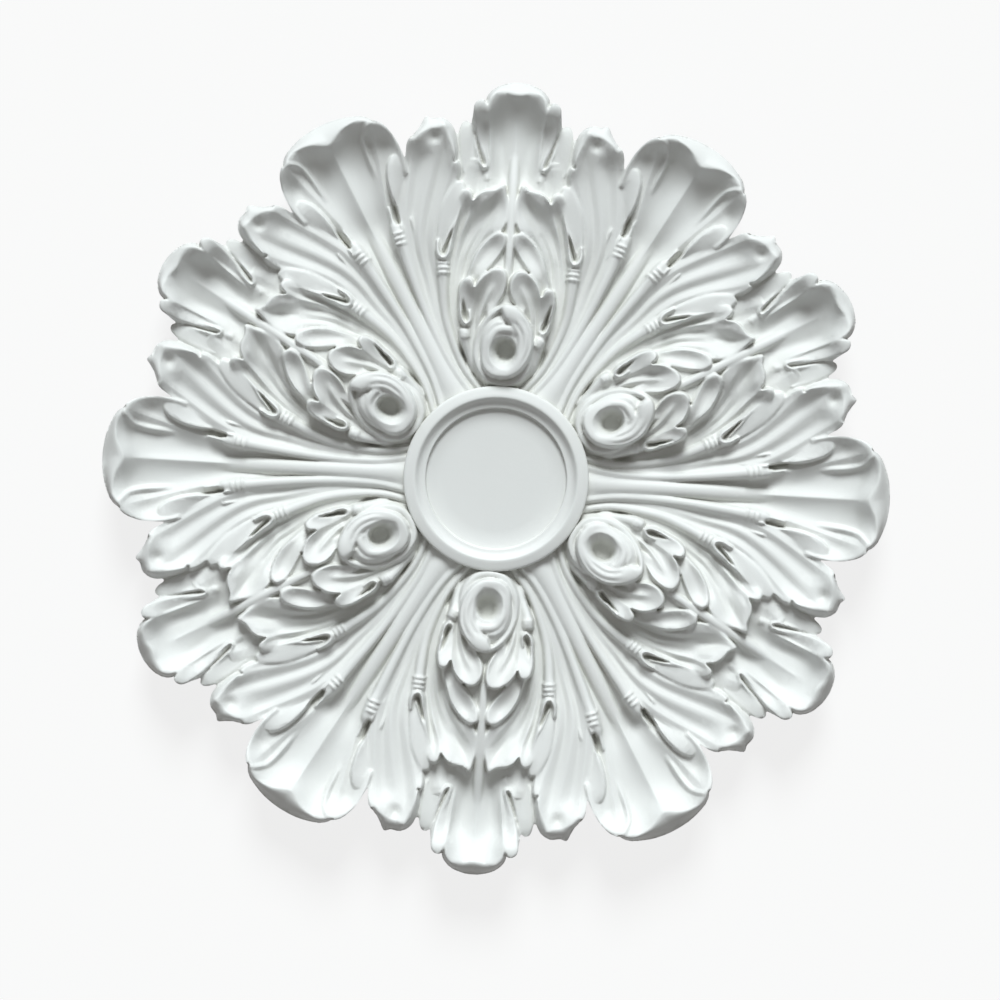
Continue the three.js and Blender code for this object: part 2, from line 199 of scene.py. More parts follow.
def smooth_through(points, count):
    """A smooth curve through points given along the last axis but one, at count even steps."""
    points = np.asarray(points, float)
    first = 2 * points[..., :1, :] - points[..., 1:2, :]
    last = 2 * points[..., -1:, :] - points[..., -2:-1, :]
    p = np.concatenate([first, points, last], axis=-2)
    spans = points.shape[-2] - 1
    t = np.linspace(0, spans, count)
    k = np.minimum(t.astype(int), spans - 1)
    f = (t - k)[:, None]
    a, b, c, d = (p[..., k + i, :] for i in range(4))
    square, cube = 2 * a - 5 * b + 4 * c - d, 3 * b - a - 3 * c + d
    return 0.5 * (2 * b + (c - a) * f + square * f**2 + cube * f**3)


def steps_along(places):
    """How many steps a curve through the places needs, so that the raster gets no holes."""
    places = np.array([place[:2] for place in places], float)
    return int(np.linalg.norm(np.diff(places, axis=0), axis=1).sum() / LAY_STEP * STEPS_OVER) + 4


class Field:
    """Heights over one unit's face. Each piece of carving is laid on, and the highest one shows."""

    def __init__(self):
        u = np.arange(-FIELD_ACROSS, FIELD_ACROSS + CELL, CELL)
        v = np.arange(FIELD_LOW, FIELD_HIGH + CELL, CELL)
        self.u, self.v = np.meshgrid(u, v)
        self.height = np.zeros(self.u.shape)

    def spread(self, across, outward, height, choose, start):
        """The heights put on the raster, in this unit and in its two neighbours."""
        layer = np.full(self.height.size, start)
        rows, columns = self.height.shape
        for angle in (-UNIT_ANGLE, 0.0, UNIT_ANGLE):
            a, o = turned(across, outward, angle)
            i = np.rint((a + FIELD_ACROSS) / CELL).astype(int)
            j = np.rint((o - FIELD_LOW) / CELL).astype(int)
            inside = (i >= 0) & (i < columns) & (j >= 0) & (j < rows)
            choose.at(layer, j[inside] * columns + i[inside], height[inside])
        return layer.reshape(self.height.shape)

    def lay(self, across, outward, height, fillet=FILLET, sides=(1,)):
        """Lay a surface on. Where it meets what is there, the inner corner is filled softly."""
        across, outward, height = (a.ravel() for a in np.broadcast_arrays(across, outward, height))
        for side in sides:
            layer = self.spread(side * across, outward, height, np.maximum, -1.0)
            gap = np.abs(layer - self.height)
            fill = np.where((layer > 0) & (gap < fillet), (fillet - gap) ** 2 / (4 * fillet), 0.0)
            self.height = np.maximum(self.height, layer) + fill

    def sink(self, across, outward, height, sides=(1,)):
        """Cut down to a surface."""
        across, outward, height = (a.ravel() for a in np.broadcast_arrays(across, outward, height))
        for side in sides:
            layer = self.spread(side * across, outward, height, np.minimum, np.inf)
            self.height = np.minimum(self.height, layer)

    def press(self, across, outward, amount, sides=(1,)):
        """Raise the surface by an amount, or dent it by a negative one."""
        strongest = np.maximum if amount.max() > 0 else np.minimum
        across, outward, amount = (a.ravel() for a in np.broadcast_arrays(across, outward, amount))
        for side in sides:
            self.height = self.height + self.spread(side * across, outward, amount, strongest, 0.0)

    def at(self, across, outward):
        """The height at a place."""
        return sampled(self.height, np.asarray(across, float), np.asarray(outward, float))


# A lobe: its outline from notch to notch, with a rise of the rim at a place where it has one, the
# rim's height, how deep and how many its flutes are, and its share of the leaf's width.
Lobe = namedtuple("Lobe", "outline rim flute flutes share", defaults=(1.0, 1, 1.0))


def lift_of_rim(outline, lift, across, outward, reach):
    """How far a cup's floor is lifted at each place by the rim round it, and how near the rim is.

    Where several rims lie close together, the lift levels off instead of adding up.
    """
    a, o = across.astype(np.float32), outward.astype(np.float32)
    total = np.zeros(a.shape, np.float32)
    nearest = np.full(a.shape, np.inf, np.float32)
    step = RIM_STRIDE * np.linalg.norm(np.diff(outline, axis=0), axis=1).mean()
    places, heights = (line[::RIM_STRIDE].astype(np.float32) for line in (outline, lift))
    for place, height in zip(places, heights):
        away = np.sqrt((a - place[0]) ** 2 + (o - place[1]) ** 2)
        total += height * np.exp(away * np.float32(-1 / reach))
        np.minimum(nearest, away, out=nearest)
    total *= step / (2 * reach)
    knee = lift.max() - RIM_KNEE
    over = np.maximum(total - knee, 0)
    return np.minimum(total, knee) + RIM_OVER * (1 - np.exp(-over / RIM_OVER)), nearest


def lay_leaf(field, lines, lobes, floor, reach, sides=(1, -1), flank=4.0):
    """A lobed leaf. Flutes run out from its root through lines that cross it, to its outline.

    A line is its first place, its last place and the leaf's height there. The leaf's floor rises to
    its rim over the given reach. Its flanks and its root are rounded down into what it lies on.
    """
    stops = np.concatenate([[0.0], np.cumsum([lobe.share for lobe in lobes])])
    stops /= stops[-1]
    curves = []
    lifts = []
    for lobe in lobes:
        rims = [[lobe.rim + (place[2] if len(place) > 2 else 0.0) - floor] for place in lobe.outline]
        curves.append(smooth_through([place[:2] for place in lobe.outline], steps_along(lobe.outline)))
        lifts.append(smooth_through(rims, len(curves[-1]))[:, 0])
    outline, lift = np.concatenate(curves), np.concatenate(lifts)
    for k, lobe in enumerate(lobes):
        curve = curves[k]
        steps = len(curve)
        share = np.linspace(stops[k], stops[k + 1], steps)[:, None]
        side = np.linspace(-1, 1, steps)[:, None]
        through = []
        for first, last, height in lines:
            across_line = mix(np.array(first, float), np.array(last, float), share)
            through.append(np.concatenate([across_line, np.full((steps, 1), height)], axis=1))
        through.append(np.concatenate([curve, np.full((steps, 1), floor)], axis=1))
        along = np.stack(through, axis=1)
        length = np.linalg.norm(np.diff(along[:, :, :2], axis=1), axis=2).sum(axis=1).max()
        surface = smooth_through(along, int(length / LAY_STEP * STEPS_OVER) + 4)
        t = np.linspace(0, 1, surface.shape[1])[None, :]
        across, outward, height = (surface[..., i] for i in range(3))
        lifted, from_rim = lift_of_rim(outline, lift, across, outward, reach)
        height = height + lifted - RIM_ROUND * np.exp(-((from_rim / RIM_EDGE) ** 2))
        sharpness = ONE_FLUTE_SHARPNESS if lobe.flutes == 1 else FLUTES_SHARPNESS
        valley = np.abs(np.sin(0.5 * math.pi * lobe.flutes * (side + 1))) ** sharpness
        sunk_in = ease((t - FLUTE_START) / FLUTE_RISE)
        height = height - lobe.flute * valley * sunk_in * ease((1 - t) * length / FLUTE_END)
        height = height - flank * np.exp(-((t * length / ROOT_EDGE) ** 2))
        for end, row in ((0, 0), (len(lobes) - 1, -1)):
            if k == end:
                in_from_flank = np.hypot(across - across[row], outward - outward[row])
                rounding = flank * np.exp(-((in_from_flank / FLANK_EDGE) ** 2))
                height = height - rounding * ease((1 - t) / FLANK_END)
        field.lay(across, outward, height, FILLET, sides)


def lay_lip(field, rim, edge, rim_height, edge_height, sides=(1, -1)):
    """The back of a rolled tip: it falls away from the rim to the outline behind it."""
    steps = max(steps_along(rim), steps_along(edge))
    near, far = (
        smooth_through([place[:2] for place in line], steps)[:, None, :] for line in (rim, edge)
    )
    width = np.linalg.norm(far - near, axis=2).max()
    q = np.linspace(-LIP_OVER / width, 1, int(width / LAY_STEP * STEPS_OVER) + 6)[None, :]
    place = mix(near, far, q[..., None])
    height = mix(rim_height, edge_height, np.maximum(q, 0) ** LIP_CURVE)
    field.lay(place[..., 0], place[..., 1], height, LIP_FILLET, sides)


def band_along(path, widths, heights):
    """A strip along a path: its places, with the share across it and its middle's height."""
    path = smooth_through(path, steps_along(path))
    heading = np.gradient(path, axis=0)
    heading /= np.linalg.norm(heading, axis=1)[:, None]
    t = np.linspace(0, 1, len(path))
    half = np.interp(t, np.linspace(0, 1, len(widths)), widths)[:, None] / 2
    middle = smooth_through([[h] for h in heights], len(path))
    s = np.linspace(-1, 1, int(2 * half.max() / LAY_STEP * STEPS_OVER) + 5)[None, :]
    across = path[:, :1] + heading[:, 1:] * half * s
    outward = path[:, 1:] - heading[:, :1] * half * s
    return across, outward, s, half, middle


def lay_stem(field, path, widths, heights, crown=1.0, sides=(1, -1), fillet=FILLET):
    """A rounded stem along a path, its width and height changing evenly along it."""
    across, outward, s, half, middle = band_along(path, widths, heights)
    surface = middle - crown * half * (1 - np.sqrt(np.maximum(0, 1 - STEM_SIDE * s * s)))
    field.lay(across, outward, surface, fillet, sides)


def lay_fold(field, path, widths, rise, sides=(1, -1)):
    """A soft fold that rises along a path on what is there, or a soft groove where it sinks."""
    across, outward, s, half, middle = band_along(path, widths, [0.0] * len(path))
    t = np.linspace(0, 1, len(across))[:, None]
    amount = rise * (1 - s * s) ** 2 * ease(t / FOLD_END) * ease((1 - t) / FOLD_END)
    field.press(across, outward, amount, sides)


def lay_bands(field, middle, width, side=1):
    """Three raised bands across a stem, from its middle line's first place to its last."""
    (a0, o0), (a1, o1) = middle
    heading = np.array([a1 - a0, o1 - o0]) / math.hypot(a1 - a0, o1 - o0)
    aside = np.array([heading[1], -heading[0]])
    for share in (0.0, 0.5, 1.0):
        centre = mix(np.array([a0, o0]), np.array([a1, o1]), share)
        top = float(field.at(side * centre[0], centre[1])) + BAND_RISE
        ends = [tuple(centre + aside * width * x) for x in (-0.5, -0.25, 0.0, 0.25, 0.5)]
        tops = [top - BAND_END_DROP, top - BAND_DROP, top, top - BAND_DROP, top - BAND_END_DROP]
        lay_stem(field, ends, [BAND_WIDTH], tops, BAND_CROWN, (side,), BAND_FILLET)


def drill_eye(field, path, widths, depth, rim, rim_width, side=1):
    """A drop-shaped eye between two lobes, with a raised rim that runs round its lower end."""
    ends = [float(field.at(side * place[0], place[1])) for place in path]
    top = min(max(ends), np.median(ends) + EYE_ABOVE_MIDDLE)
    lay_stem(field, rim, [share * rim_width for share in EYE_RIM_SHARES],
             [top + rise for rise in EYE_RIM_RISES], EYE_RIM_CROWN, (side,), EYE_RIM_FILLET)
    across, outward, s, half, middle = band_along(path, widths, [0.0] * len(path))
    sunk_in = ease(np.linspace(0, 1, len(across)) / EYE_SLOPE)[:, None]
    floor = top - depth * sunk_in + (depth + EYE_WALL) * np.abs(s) ** 3
    field.sink(across, outward, floor, (side,))


def foot_of_ring(field):
    """The low ground round the ring and under the leaves, so that no gap is cut too deep."""
    lay_stem(field, [(0, 92), (0, 150), (0, 222)], [56, 92, 70], [27, 25, 22], 0.1, (1,))
    lay_stem(field, [(0, 118), (0, 140), (0, 160), (0, 180), (0, 200), (0, 228)],
             [30, 28, 30, 20, 14, 11], [41, 40, 38.5, 36.5, 34, 26], 0.1, (1,))
    lay_stem(field, [(-46, 190), (-47, 225), (-46, 256)], [15, 15, 13], [26, 28, 30], 0.1)
    lay_stem(field, [(-38, 238), (-36.5, 256), (-34.5, 268)], [9, 8, 5], [28, 32, 34], 0.1)
    lay_stem(field, [(-34, 260), (-33, 270), (-32.6, 278)], [5, 3.5, 2.4], [32, 34, 35], 0.1)
    lay_stem(field, [(-42, 218), (-44, 238), (-44.5, 263)], [8, 12, 6], [28, 32, 33], 0.1)
    angle = np.linspace(-UNIT_ANGLE / 2, UNIT_ANGLE / 2, GROUND_STEPS_ROUND)[:, None]
    inside, outside = RING_RADIUS - GROUND_UNDER_RING, RING_RADIUS + GROUND_REACH
    radius = np.linspace(inside, outside, GROUND_STEPS_OUT)[None, :]
    drop = GROUND_DROP * ease((radius - RING_RADIUS) / GROUND_DROP_REACH)
    height = STEM_HEIGHT - GROUND_BELOW_STEMS - drop
    field.lay(radius * np.sin(angle), radius * np.cos(angle), height + 0 * angle)


def swell(field, across, outward, rise, reach, sides=(1, -1)):
    """Raise or dent the surface softly about a place."""
    for side in sides:
        for angle in (-UNIT_ANGLE, 0.0, UNIT_ANGLE):
            a, o = turned(side * across, outward, angle)
            away = (field.u - a) ** 2 + (field.v - o) ** 2
            amount = rise * np.exp(-away / (2 * reach**2))
            field.height = field.height + np.where(field.height > 0, amount, 0)


def fan_leaf(field):
    """The fan leaf on the unit's axis: a wide rolled lobe, two side lobes and two fingers."""
    lines = [
        ((-8, 150), (8, 150), FAN_ROOT + 6),
        ((-24, 190), (24, 190), FAN_ROOT + 8),
        ((-40, 222), (40, 222), FAN_ROOT + 9),
        ((-36, 243), (36, 243), FAN_ROOT + 6),
    ]
    under = Lobe([(-43, 232), (-42, 239), (-37, 243), (-31, 242), (-25, 238)], FAN_ROOT + 7, 0.0)
    side_lobe = Lobe([(-25, 238), (-28.5, 254), (-32, 268), (-33.5, 279), (-32.4, 285),
                      (-28.5, 287.8), (-24.5, 286.5), (-22.8, 281)], FAN_RIM - 2, 1.4)
    half_rim = [(-22.8, 281), (-22.7, 287.5), (-20.5, 292.5), (-16, 295.8), (-9, 295.2), (0, 293.4)]
    middle = Lobe(half_rim + mirrored(half_rim)[1:], FAN_RIM + 2, 3.4, 2, 4.6)
    other = [lobe._replace(outline=mirrored(lobe.outline)) for lobe in (side_lobe, under)]
    lay_leaf(field, lines, [under, side_lobe, middle, *other], FAN_ROOT + 5, 6.5, (1,), 1.0)
    half_edge = [(-24.4, 282), (-24.2, 291), (-20.8, 296.5), (-15, 300.8), (-7, 303.6), (0, 304.2)]
    edge = half_edge + mirrored(half_edge)[1:]
    lay_lip(field, middle.outline, edge, FAN_RIM + 2, FAN_RIM - 12, (1,))
    lay_fold(field, [(-16.5, 235), (-19, 255), (-20.5, 270), (-22.3, 283)], [3.5, 4, 4, 3], 2.0)
    lay_fold(field, [(0, 240), (0, 258), (0, 272), (0, 288)], [4, 4, 4, 3], 0.8, (1,))
    finger = [(-38.5, 234), (-42.3, 250), (-43.8, 263), (-42, 271), (-38, 273), (-34, 268.5),
              (-30.6, 258), (-27.5, 248), (-24.5, 239)]
    finger_lines = [
        ((-39, 222), (-24, 226), FAN_ROOT + 7),
        ((-40, 235), (-26, 238), FAN_ROOT + 10),
    ]
    finger_lobe = Lobe(finger, FAN_RIM - 9, -0.3)
    lay_leaf(field, finger_lines, [finger_lobe], FAN_RIM - 7.5, 2.2, flank=0.6)
    for side in (1, -1):
        drill_eye(field, [(-33.5, 271), (-31, 262), (-27.5, 251), (-24, 241)], [0.6, 1.1, 1.4, 2.0],
                  6.0, [(-31.5, 258), (-29.5, 251), (-26.5, 242), (-23.5, 238), (-21, 240),
                        (-23.5, 250), (-26, 258)], 2.0, side)
        lay_bands(field, [(-22, 235), (-20.5, 230)], 6, side)


def rib(field):
    """The rib on the unit's axis, which shows between the leaves and fades on the fan leaf."""
    lay_stem(field, [(0, 142), (0, 160), (0, 178), (0, 196), (0, 213), (0, 232), (0, 252)],
             [5, 6, 6.5, 7, 7.5, 8, 6], [41, 43, 43, 41.5, 39, 34.5, 28], 0.9, (1,), 1.5)


def side_leaf(field):
    """The tall leaf beside the spoon, with its rolled tip, a finger and a small lobe on each side."""
    lines = [
        (beside_spoon(9, RING_RADIUS - 5), beside_spoon(22, RING_RADIUS - 5), STEM_HEIGHT - 3),
        (beside_spoon(8, 118), beside_spoon(20, 118), SIDE_LEAF_ROOT + 1),
        (beside_spoon(11.5, 160), (-51, 152), SIDE_LEAF_ROOT + 1),
        ((-87, 192), (-53, 190), SIDE_LEAF_ROOT + 6),
    ]
    small = Lobe([(-82.5, 244), (-83.5, 249), (-82.5, 254), (-80, 257), (-78, 255)], SIDE_LEAF_TIP - 4)
    main = Lobe([(-78, 255), (-74.5, 260.5), (-68, 264.5), (-61, 266), (-54.5, 268.5), (-52, 262),
                 (-48.5, 252), (-46, 240)], SIDE_LEAF_TIP + 1, 2.4, 2, 4.0)
    inner = Lobe([(-46, 240), (-43.5, 241.5), (-42, 236), (-43.5, 226), (-46, 214)], SIDE_LEAF_TIP - 7)
    lay_leaf(field, lines, [small, main, inner], SIDE_LEAF_ROOT + 9, 6.5)
    swell(field, -69, 252, 2.5, 4.5)
    swell(field, -62, 260, -5.0, 3.6)
    rim = [(-79, 256), (-75, 260.5), (-69, 264.8), (-61, 265.8), (-54, 268.5), (-52, 262),
           (-47.8, 250), (-46, 242)]
    edge = [(-81, 257), (-76.5, 262.3), (-73.5, 267.5), (-70.3, 274.3), (-65.5, 273), (-57, 273.8),
            (-48.5, 267.5), (-44.8, 253), (-45.2, 242)]
    lay_lip(field, rim, edge, SIDE_LEAF_TIP, SIDE_LEAF_TIP - 12)


def fingers(field):
    """The fingers of the side leaf, which overlap it, with the eyes and bands at their feet."""
    outer = at_spoon([(21.5, 206, -3), (24.5, 222), (27, 238), (31.5, 250.5), (38, 257.5),
                      (43.5, 256)])
    outer += [(-82.5, 239, -1), (-80.5, 228, -8), (-79.5, 212, -16), (-79, 200, -22)]
    lay_leaf(field, [(beside_spoon(20, 186), beside_spoon(25, 186), SIDE_LEAF_ROOT + 1)],
             [Lobe(outer, SIDE_LEAF_TIP - 7, -0.6)], SIDE_LEAF_TIP - 6.5, 3.0, flank=6.0)
    inner = [(-55.5, 168, -5), (-55.8, 190, -5), (-54, 207, -3), (-48, 221), (-43, 226.5),
             (-38.5, 225.5), (-37, 219), (-39.5, 208), (-43.5, 196), (-48, 186), (-51.5, 176, -2)]
    lay_leaf(field, [((-54, 154), (-47, 154), SIDE_LEAF_ROOT + 5)],
             [Lobe(inner, SIDE_LEAF_TIP - 8, -0.6)], SIDE_LEAF_TIP - 8, 3.0)


def finger_stems(field):
    """The three stems on each side of the spoon, which run from the ring to the fingers' eyes."""
    on_leaf = [SIDE_LEAF_ROOT + 4, SIDE_LEAF_ROOT + 8, SIDE_LEAF_ROOT + 4]
    lay_stem(field, at_spoon([(13, 66), (8.5, 95), (9.5, 140), (17, 203), (18.6, 208)]),
             [4.5, 5, 6.5, 9, 5], [STEM_HEIGHT + 1, STEM_HEIGHT, *on_leaf], 0.9, fillet=3.0)
    lay_stem(field, [*at_spoon([(20, 66), (16.5, 92), (22, 130)]), (-50.5, 160), (-50.3, 166)],
             [4.5, 5, 6.5, 8.5, 5], [STEM_HEIGHT, STEM_HEIGHT - 1, *on_leaf], 0.9, fillet=3.0)
    near_scroll = {1: [(-31, 108), (-31, 115)], -1: [(-26, 104), (-29, 112)]}
    heights = [STEM_HEIGHT, STEM_HEIGHT, TOP_LEAF_ROOT + 4, TOP_LEAF_ROOT + 2]
    for side, end in near_scroll.items():
        lay_stem(field, [*at_spoon([(27, 66), (23.5, 86)]), *end], [4.5, 5, 7.5, 5], heights,
                 1.0, (side,), 3.0)


def eyes_and_bands(field):
    """The drilled eyes beside the fingers, and the bands on the stems below them."""
    for side in (1, -1):
        drill_eye(field, at_spoon([(25, 232), (23.8, 220), (21, 209.5)]), [0.5, 1.9, 3.0], 10.0,
                  at_spoon([(20, 224), (17.6, 212), (19.5, 206), (23.6, 207.5), (25.8, 218)]),
                  2.8, side)
        lay_bands(field, at_spoon([(17.2, 202.5), (15.6, 194.5)]), 9.5, side)
        drill_eye(field, [(-43.5, 193), (-47, 182), (-50.5, 171)], [0.5, 2.0, 3.2], 10.0,
                  [(-55.5, 181), (-54.8, 171), (-50.8, 167), (-46.8, 171), (-45, 184)], 2.8, side)
        lay_bands(field, [(-50.5, 163.5), (-50, 156)], 9.5, side)
    drill_eye(field, [(-34, 137), (-32.4, 129), (-30.3, 121)], [0.5, 1.6, 2.2], 10.0,
              [(-36.4, 140), (-35.4, 130), (-33.6, 121), (-30.2, 117.2), (-27.2, 120.5), (-28.2, 128)],
              2.2, 1)
    lay_bands(field, [(-31, 112.5), (-30.5, 107.5)], 8, 1)
    drill_eye(field, [(-34.5, 134), (-32, 125), (-29, 116)], [0.5, 1.6, 2.2], 11.0,
              [(-36.2, 134), (-34.5, 124), (-32.4, 115), (-29, 112.5), (-26.3, 115), (-27.5, 123)],
              2.2, -1)
    lay_bands(field, [(-27.3, 107.5), (-25.3, 103)], 8, -1)


def inner_leaf(field):
    """The inner leaf on the fan leaf, and the small spoon that curls in to the rib."""
    lines = [
        ((-39, 96), (-30, 96), INNER_LEAF_ROOT - 2),
        ((-48, 130), (-31, 126), INNER_LEAF_ROOT - 3),
        ((-51, 162), (-25, 154), INNER_LEAF_ROOT - 2),
        ((-48, 190), (-19, 172), INNER_LEAF_ROOT),
    ]
    small = Lobe([(-44, 204), (-39.5, 217), (-35, 220.5), (-31.5, 218), (-30, 212)],
                 INNER_LEAF_TIP - 4, 1.6, 2, 1.3)
    broad = Lobe([(-30, 212), (-26.5, 217), (-21, 220.5), (-13, 222), (-7, 225.5), (-4.5, 217),
                  (-2.6, 204), (-4.5, 194), (-8, 189), (-13, 187)], INNER_LEAF_TIP, 2.6, 3, 2.6)
    lay_leaf(field, lines, [small, broad], INNER_LEAF_ROOT + 3, 6.0)
    lay_fold(field, [(-37, 168), (-29, 190), (-19, 205), (-9, 217)], [6, 9, 10, 8], -2.4)
    lay_fold(field, [(-41, 178), (-33, 197), (-25, 209), (-17, 217)], [5, 7, 8, 6], 2.2)
    lay_fold(field, [(-33, 165), (-22, 184), (-13, 196), (-6, 208)], [4, 6, 7, 5], 1.4)
    spoon_lines = [
        ((-38, 120), (-31, 118), INNER_LEAF_ROOT + 1),
        ((-34, 146), (-25, 140), INNER_LEAF_ROOT + 4),
    ]
    curl = Lobe([(-30, 158), (-26, 171), (-18.5, 182), (-10, 188.2), (-4.6, 187.4), (-2.9, 183.5),
                 (-4, 176.5), (-9.8, 167.5), (-17, 160), (-23, 152)], INNER_LEAF_TIP + 1, 0.0)
    lay_leaf(field, spoon_lines, [curl], INNER_LEAF_ROOT + 5, 3.4)


def top_leaf(field):
    """The leaf on top beside the scroll: a finger and a broad lobe, a little lower on the right."""
    lines = [
        ((-26, 82), (-13, 78), TOP_LEAF_ROOT - 2),
        ((-31, 106), (-15, 104), TOP_LEAF_ROOT),
        ((-32, 124), (-14, 122), TOP_LEAF_ROOT + 2),
    ]
    finger = Lobe([(-34, 128), (-37, 138), (-36, 148), (-31.5, 152.5), (-27, 151), (-25, 145)],
                  TOP_LEAF_TIP - 5, 0.3, 1, 1.0)
    broad = Lobe([(-25, 145), (-23, 150), (-18.5, 155.5), (-11, 160.4), (-4, 160), (-1, 155),
                  (-0.8, 148), (-3, 140), (-8, 133)], TOP_LEAF_TIP, 2.4, 2, 2.0)
    lay_leaf(field, lines, [finger, broad], TOP_LEAF_ROOT + 5, 5.0, (1,))
    right_finger = finger._replace(outline=[
        (-33.5, 122), (-37, 132), (-37, 141), (-34.5, 146.5), (-29.5, 146), (-26.5, 140),
    ])
    right_broad = broad._replace(outline=[
        (-26.5, 140), (-24, 149), (-18, 156), (-11.5, 159.5), (-6, 158), (-2.5, 153), (-1.5, 146),
        (-3.5, 139), (-8, 133),
    ])
    lay_leaf(field, lines, [right_finger, right_broad], TOP_LEAF_ROOT + 5, 5.0, (-1,))
    lay_fold(field, [(-21, 112), (-20, 126), (-15, 139), (-9, 150)], [4, 6, 6, 4], 1.8)


def broad_spoon(field):
    """The broad spoon between two units, with an arris down its middle and a lip that rolls over."""
    levels = [
        (13, RING_RADIUS - 6, SPOON_ROOT - 1),
        (8, 92, SPOON_ROOT - 4),
        (8, 140, SPOON_WAIST - 1),
        (14, 188, SPOON_WAIST - 2),
        (25, 214, SPOON_WAIST - 1),
        (36, 238, SPOON_WAIST + 3),
    ]
    lines = [
        (beside_spoon(-half, outward), beside_spoon(half, outward), height)
        for half, outward, height in levels
    ]
    side_half = [(-44.5, 240), (-47.5, 254), (-47.5, 268), (-45, 278), (-41, 284), (-37.5, 286)]
    rim_half = [(-37.5, 286), (-33, 290), (-27, 291.8), (-15, 291), (-6, 288), (0, 285.5)]
    side_lobe = Lobe(side_half, SPOON_RIM - 5, 2.2, 1, 1.4)
    centre = Lobe(rim_half, SPOON_RIM, 4.2, 1, 2.4)
    lobes = [side_lobe, centre]
    lobes += [lobe._replace(outline=mirrored(lobe.outline)) for lobe in (centre, side_lobe)]
    lobes = [lobe._replace(outline=at_spoon(lobe.outline)) for lobe in lobes]
    lay_leaf(field, lines, lobes, SPOON_WAIST + 5, 7.5, (1,))
    edge_half = [(-39, 285.5), (-35, 292), (-28, 296.5), (-17, 300.5), (-8, 302), (0, 302.5)]
    rim = [(-38.5, 284.5), *rim_half[1:], *mirrored(rim_half)[1:-1], (38.5, 284.5)]
    edge = [*edge_half, *mirrored(edge_half)[1:]]
    lay_lip(field, at_spoon(rim), at_spoon(edge), SPOON_RIM, SPOON_RIM - 15, (1,))
    ear = [(-37.5, 287), (-32, 284), (-26.5, 279.5), (-23.5, 270), (-22, 258), (-20, 244)]
    groove = [(-6, 92), (-6.5, 130), (-7, 165), (-7.5, 205)]
    for side in (1, -1):
        lay_fold(field, at_spoon([(side * u, v) for u, v in ear]), [4, 5.5, 6.5, 6.5, 6, 5], 4.2, (1,))
        lay_fold(field, at_spoon([(side * u, v) for u, v in groove]), [3, 4, 5, 5], -1.6, (1,))
    swell(field, *beside_spoon(-39, 268), -2.5, 5.0)
    lay_stem(field, at_spoon([(0, 66), (0, 82), (0, 100), (0, 140), (0, 175), (0, 200), (0, 222)]),
             [26, 17, 12, 11, 12, 11, 8],
             [SPOON_ROOT, SPOON_ROOT, SPOON_ROOT - 1, SPOON_WAIST + 3, SPOON_WAIST + 1.5,
              SPOON_WAIST - 1, SPOON_WAIST - 4], 0.8, (1,), 1.5)


def scroll(field):
    """The scroll: a ribbon that rolls round a deep bowl and ends in a tongue over its top."""
    angle = np.linspace(0, 2 * math.pi, SCROLL_STEPS_ROUND)[:, None]
    mound = np.array([
        [1.0, 102.5, 19.5, 26.5, STEM_HEIGHT + 2],
        [0.8, 102.5, 18.0, 24.5, SCROLL_HEIGHT - 9],
        [0.5, 102, 14.5, 20, SCROLL_HEIGHT - 5],
        [-0.8, 97, 8, 10, SCROLL_HEIGHT - 4],
        [-1.0, 97, 0, 0, SCROLL_HEIGHT - 4],
    ])
    u, v, a, b, h = (smooth_through(mound, SCROLL_STEPS_DOWN)[:, i][None, :] for i in range(5))
    field.lay(u + a * np.cos(angle), v + b * np.sin(angle), h + 0 * angle)
    top = SCROLL_HEIGHT
    collar = [(-2, 131.5), (-9.5, 126), (-16.5, 117), (-20.5, 104), (-19.5, 89), (-12, 77), (0, 73),
              (11, 76), (18.5, 86), (20.2, 101), (17.5, 114)]
    lay_stem(field, collar, [3, 3.5, 4, 4.5, 5, 5.5, 5.5, 5.5, 5.5, 5, 3],
             [top - 2, top - 5, top - 9, *[top - 12] * 8], 0.6, (1,), 1.5)
    ribbon = [(-11, 114), (-13.8, 103), (-13.8, 91), (-10, 83), (-2, 79.8), (7, 82), (13, 89.5),
              (16, 100), (15.5, 111), (11, 119.5), (5.5, 125.4), (0.8, 127.8), (-1.6, 128), (-3, 127.6)]
    ribbon_rises = (-8, -7, -6, -5, -4, -3, -2, -1, 0, 1, 2, 2, 1, -1)
    lay_stem(field, ribbon, [4, 5.5, 6, 6, 6, 6.5, 8.5, 11, 12.5, 13, 12.5, 11.5, 9, 5],
             [top + rise for rise in ribbon_rises], 0.5, (1,), 2.0)
    lay_stem(field, [(-10.5, 97), (-11, 105), (-7, 112), (-1, 114.5), (5, 114), (8, 110)],
             [3, 4.5, 5, 5.5, 5, 3], [top + rise for rise in (-5, -3, -2, -1, -1, -3)], 0.7, (1,), 1.0)
    lay_stem(field, [(-13.5, 106), (-11, 114), (-6, 118.5), (0, 119)], [3, 4, 4, 3],
             [top + rise for rise in (-6, -4, -3, -3)], 0.7, (1,), 1.0)
    lay_fold(field, [(11, 84), (18, 96), (19.2, 108), (15, 119), (8, 126)],
             [2.5, 3, 3.2, 3.2, 2.5], -1.3, (1,))
    lay_fold(field, [(11, 90), (14, 100), (13.5, 110), (8.5, 118), (2.5, 122)],
             [2.5, 2.8, 2.8, 3, 2.5], -1.3, (1,))
    bowl = np.array([
        [-0.6, 96, 12.2, 14.2, top + 2],
        [-0.6, 96, 11.0, 12.8, top - 3],
        [-0.3, 96.8, 9.2, 10.8, top - 7],
        [1.2, 98.8, 7.0, 8.2, top - 14],
        [1.5, 99.3, 5.8, 6.8, top - 20],
        [1.5, 99.3, 3.0, 3.6, top - 21],
        [1.5, 99.3, 0.0, 0.0, top - 21],
    ])
    u, v, a, b, h = (smooth_through(bowl, SCROLL_STEPS_DOWN)[:, i][None, :] for i in range(5))
    field.sink(u + a * np.cos(angle), v + b * np.sin(angle), h + 0 * angle)


